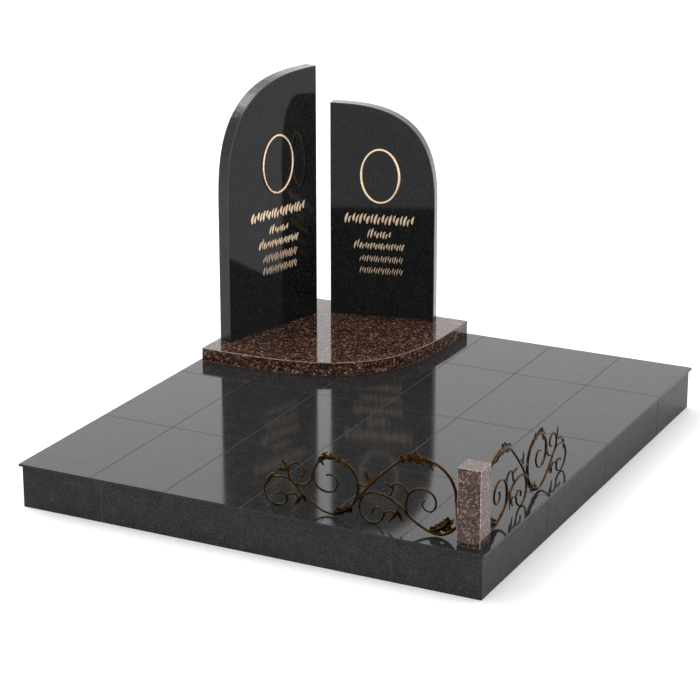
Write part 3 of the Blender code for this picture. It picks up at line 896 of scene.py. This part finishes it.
def add_bar(mesh, start, heading, thick, thin, bends):
    """A round bar that thins towards its eye, with a small ball at its end."""
    path = bend_path(start, heading, bends)
    total = path[-1][3]
    loops = []
    for x, y, angle, along in path:
        radius = thick + (thin - thick) * along / total
        aside = Vector((-math.sin(angle), math.cos(angle), 0.0)) * radius
        out = Vector((0.0, 0.0, BAR_DEPTH * radius))
        turns = [2 * math.pi * i / BAR_SIDES for i in range(BAR_SIDES)]
        loops.append([(Vector((x, y, 0.0)) + aside * math.cos(turn) + out * math.sin(turn)) * DRAWING_UNIT
                      for turn in turns])
    loft(mesh, loops)
    end = Vector((path[-1][0], path[-1][1], 0.0)) * DRAWING_UNIT
    bmesh.ops.create_uvsphere(mesh, u_segments=BALL_SIDES, v_segments=BALL_RINGS,
                              radius=thin * BALL_SIZE * DRAWING_UNIT, matrix=Matrix.Translation(end))


print("scrolls in the drawing:", len(SCROLLS))

# %% [markdown]
# Acanthus leaves hide the places where bars meet. Each one is a bent midrib with pairs of small pointed
# lobes, and every lobe is a little blade with its own rib. They swell on both faces, because the panel is
# seen from both sides, and their tips curl out of the panel by turns, which gives the casting its light
# and shade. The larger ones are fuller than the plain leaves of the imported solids.

# %% Leaf drawing
LEAVES = [
    ((248, 256), 150, 150, 42, 14, 62, 5),
    ((212, 270), 146, 58, 26, 10, 20, 3),
    ((188, 280), 104, 30, 13, 9, 20, 1),
    ((124, 262), 226, 26, 11, 9, 10, 1),
    ((200, 274), 284, 24, 11, 9, 10, 1),
    ((440, 198), 40, 125, 32, 14, -62, 4),
    ((566, 200), 138, 62, 22, 10, -8, 2),
    ((528, 212), 74, 28, 12, 9, 20, 1),
    ((548, 206), 264, 24, 13, 9, -30, 1),
    ((128, 15), 172, 112, 44, 15, -58, 5),
    ((50, 26), 100, 58, 24, 10, 20, 2),
    ((70, 20), 84, 30, 13, 9, -20, 1),
    ((95, 14), 98, 32, 13, 9, 20, 1),
    ((505, 14), 172, 100, 34, 14, -42, 4),
    ((438, 56), 252, 38, 14, 9, 10, 1),
    ((474, 16), 58, 32, 13, 9, 20, 1),
    ((352, 150), 124, 44, 15, 9, -16, 1),
    ((354, 150), 62, 56, 16, 9, 16, 1),
    ((256, 152), 6, 50, 16, 9, 24, 1),
    ((680, 146), 46, 50, 16, 9, 20, 1),
    ((680, 150), -12, 58, 18, 9, -10, 1),
    ((741, 124), -34, 62, 19, 11, -60, 2),
    ((246, 84), 262, 62, 16, 9, -14, 1),
    ((244, 74), 298, 70, 16, 9, 14, 1),
    ((624, 68), 262, 44, 15, 9, -14, 1),
    ((624, 66), 300, 66, 19, 9, 8, 1),
]
LEAF_ACROSS = 8
LEAF_STEPS = 40
LEAF_FOOT = 0.12
LEAF_TAPER = 0.7
THINNEST_HALF = 0.6
POINT_THINNING = 0.55
RIB_HEIGHT = 0.30
RIB_WIDTH = 0.22
EDGE_THICKNESS = 0.14
BODY_THICKNESS = 0.62
BODY_FULLNESS = 1.7
CURL_POWER = 2.2
LOBED_CORE = 0.42
PLAIN_CORE = 0.85
SHORTEST_LOBED = 40
LOBE_STEPS = 12
LOBE_START = 0.35
LOBE_FOOT_REACH = 0.35
LOBE_CLOSING = 12
LOBE_THICKNESS = 0.72
LOBE_LEAN = 0.55
LOBE_SPREAD = 60
LOBE_REACH = 0.70
LOBE_FULLNESS = 0.56
LOBE_BEND = 40
LOBE_CURL = 3.0
TIP_CURL = 6.0
LOWEST_LOBE = 3.0


def leaf_swell(share):
    """How wide a leaf is along its length, from 0 to 1: it widens fast and narrows slowly to its point."""
    return math.sin(math.pi * min(1.0, LEAF_FOOT + (1 - LEAF_FOOT) * share)) ** LEAF_TAPER


def add_leaf_blade(mesh, foot, heading, length, width, thickness, bend, curl, steps):
    """A blade with a raised rib and a thin edge. It returns the midrib as (x, y, heading, share)."""
    x, y = foot
    angle = math.radians(heading)
    loops, midrib = [], []
    for i in range(steps + 1):
        share = i / steps
        midrib.append((x, y, math.degrees(angle), share))
        half = max(THINNEST_HALF, width / 2 * leaf_swell(share))
        along = Vector((math.cos(angle), math.sin(angle), 0.0))
        side = Vector((-math.sin(angle), math.cos(angle), 0.0))
        fade = 1.0 - POINT_THINNING * share ** 2
        top, under = [], []
        for j in range(LEAF_ACROSS + 1):
            v = 2 * j / LEAF_ACROSS - 1
            rib = RIB_HEIGHT * math.exp(-(v / RIB_WIDTH) ** 2)
            body = EDGE_THICKNESS + BODY_THICKNESS * (1 - abs(v) ** BODY_FULLNESS)
            out = Vector((0.0, 0.0, thickness / 2 * fade * (body + rib)))
            spot = (Vector((x, y, curl * share ** CURL_POWER)) + side * v * half
                    + along * abs(v) * half * LOBE_LEAN * (1 - share))
            top.append((spot + out) * DRAWING_UNIT)
            under.append((spot - out) * DRAWING_UNIT)
        loops.append(top + list(reversed(under)))
        x += length / steps * math.cos(angle)
        y += length / steps * math.sin(angle)
        angle += math.radians(bend) / steps
    loft(mesh, loops)
    return midrib


def add_leaf(mesh, foot, heading, length, width, thickness, bend, lobes, curl):
    """An acanthus leaf: a blade along the midrib, and pairs of pointed lobes that curl out at each side."""
    pairs = lobes if lobes > 1 else (1 if length > SHORTEST_LOBED else 0)
    core = width * (LOBED_CORE if lobes > 1 else PLAIN_CORE)
    midrib = add_leaf_blade(mesh, foot, heading, length, core, thickness, bend, curl * TIP_CURL, LEAF_STEPS)
    for k in range(pairs):
        x, y, direction, share = midrib[round(LEAF_STEPS * (k + LOBE_START) / (pairs + LOBE_START))]
        reach = width * LOBE_REACH * (LOBE_FOOT_REACH + (1 - LOBE_FOOT_REACH) * leaf_swell(share))
        lobe_width = reach * LOBE_FULLNESS
        for side in (1, -1):
            turned = direction + side * (LOBE_SPREAD - LOBE_CLOSING * share)
            if y + reach * math.sin(math.radians(turned)) < LOWEST_LOBE:
                continue
            lobe_curl = LOBE_CURL * (1 if (k + (side > 0)) % 2 else -1)
            add_leaf_blade(mesh, (x, y), turned, reach, lobe_width, thickness * LOBE_THICKNESS,
                           -side * LOBE_BEND, lobe_curl, LOBE_STEPS)


print("leaves in the drawing:", len(LEAVES))

# %% [markdown]
# A casting has no seams: where a leaf lies on a bar the bronze runs together. Remeshing the overlapping
# shapes with small voxels joins them into one skin, and a light smoothing rounds the joints as the sand
# mould does. The voxel size keeps each panel under 200,000 triangles.

# %% Cast the pattern
VOXEL = 0.0015
SOFTEN_FACTOR = 0.5
SOFTEN_STEPS = 3


def cast_panel():
    """One panel, drawn flat with x away from the post and y up."""
    mesh = bmesh.new()
    for values in SCROLLS.values():
        add_bar(mesh, *values)
    for i, values in enumerate(LEAVES):
        add_leaf(mesh, *values, curl=1.0 if i % 2 == 0 else -1.0)
    bmesh.ops.recalc_face_normals(mesh, faces=mesh.faces)
    data = bpy.data.meshes.new("panel_pattern")
    mesh.to_mesh(data)
    mesh.free()
    pattern = bpy.data.objects.new("panel_pattern", data)
    scene.collection.objects.link(pattern)
    remesh = pattern.modifiers.new("cast", "REMESH")
    remesh.mode = "VOXEL"
    remesh.voxel_size = VOXEL
    remesh.use_smooth_shade = True
    soften = pattern.modifiers.new("soften", "SMOOTH")
    soften.factor = SOFTEN_FACTOR
    soften.iterations = SOFTEN_STEPS
    graph = bpy.context.evaluated_depsgraph_get()
    result = bpy.data.meshes.new_from_object(pattern.evaluated_get(graph))
    bpy.data.objects.remove(pattern, do_unlink=True)
    return result


panel_pattern = cast_panel()
print("the cast pattern has", len(panel_pattern.polygons), "faces")

# %% [markdown]
# The same pattern is cast twice, so one mesh serves both panels. One leaves the post to the left and the
# other to the back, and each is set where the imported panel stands.

# %% Hang both panels
DRAWN_LENGTH = 784.0


def hang_panel(name, pattern, replaced, turn):
    low, high = (Vector(corner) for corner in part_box(replaced))
    length = max(high.x - low.x, high.y - low.y)
    lowest = min(vertex.co.y for vertex in pattern.vertices)
    start = Vector(((low.x + high.x) / 2, low.y, low.z))
    if turn == 180:
        start = Vector((high.x, (low.y + high.y) / 2, low.z))
    panel = bpy.data.objects.new(name, pattern.copy())
    panel.data.transform(Matrix.Scale(length / (DRAWN_LENGTH * DRAWING_UNIT), 4)
                         @ Matrix.Translation((0.0, -lowest, 0.0)))
    panel.data.materials.clear()
    panel.data.materials.append(scroll_bronze)
    panel.matrix_world = (Matrix.Translation(start) @ Matrix.Rotation(math.radians(turn), 4, "Z")
                          @ Matrix.Rotation(math.radians(90), 4, "X"))
    scene.collection.objects.link(panel)
    bpy.context.view_layer.update()
    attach(panel, "root")
    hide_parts(replaced)
    compare_with_packed(panel, replaced)
    return panel


hang_panel("front_cast_scrolls", panel_pattern, "front_scroll_panel", 180)
hang_panel("side_cast_scrolls", panel_pattern, "side_scroll_panel", 90)
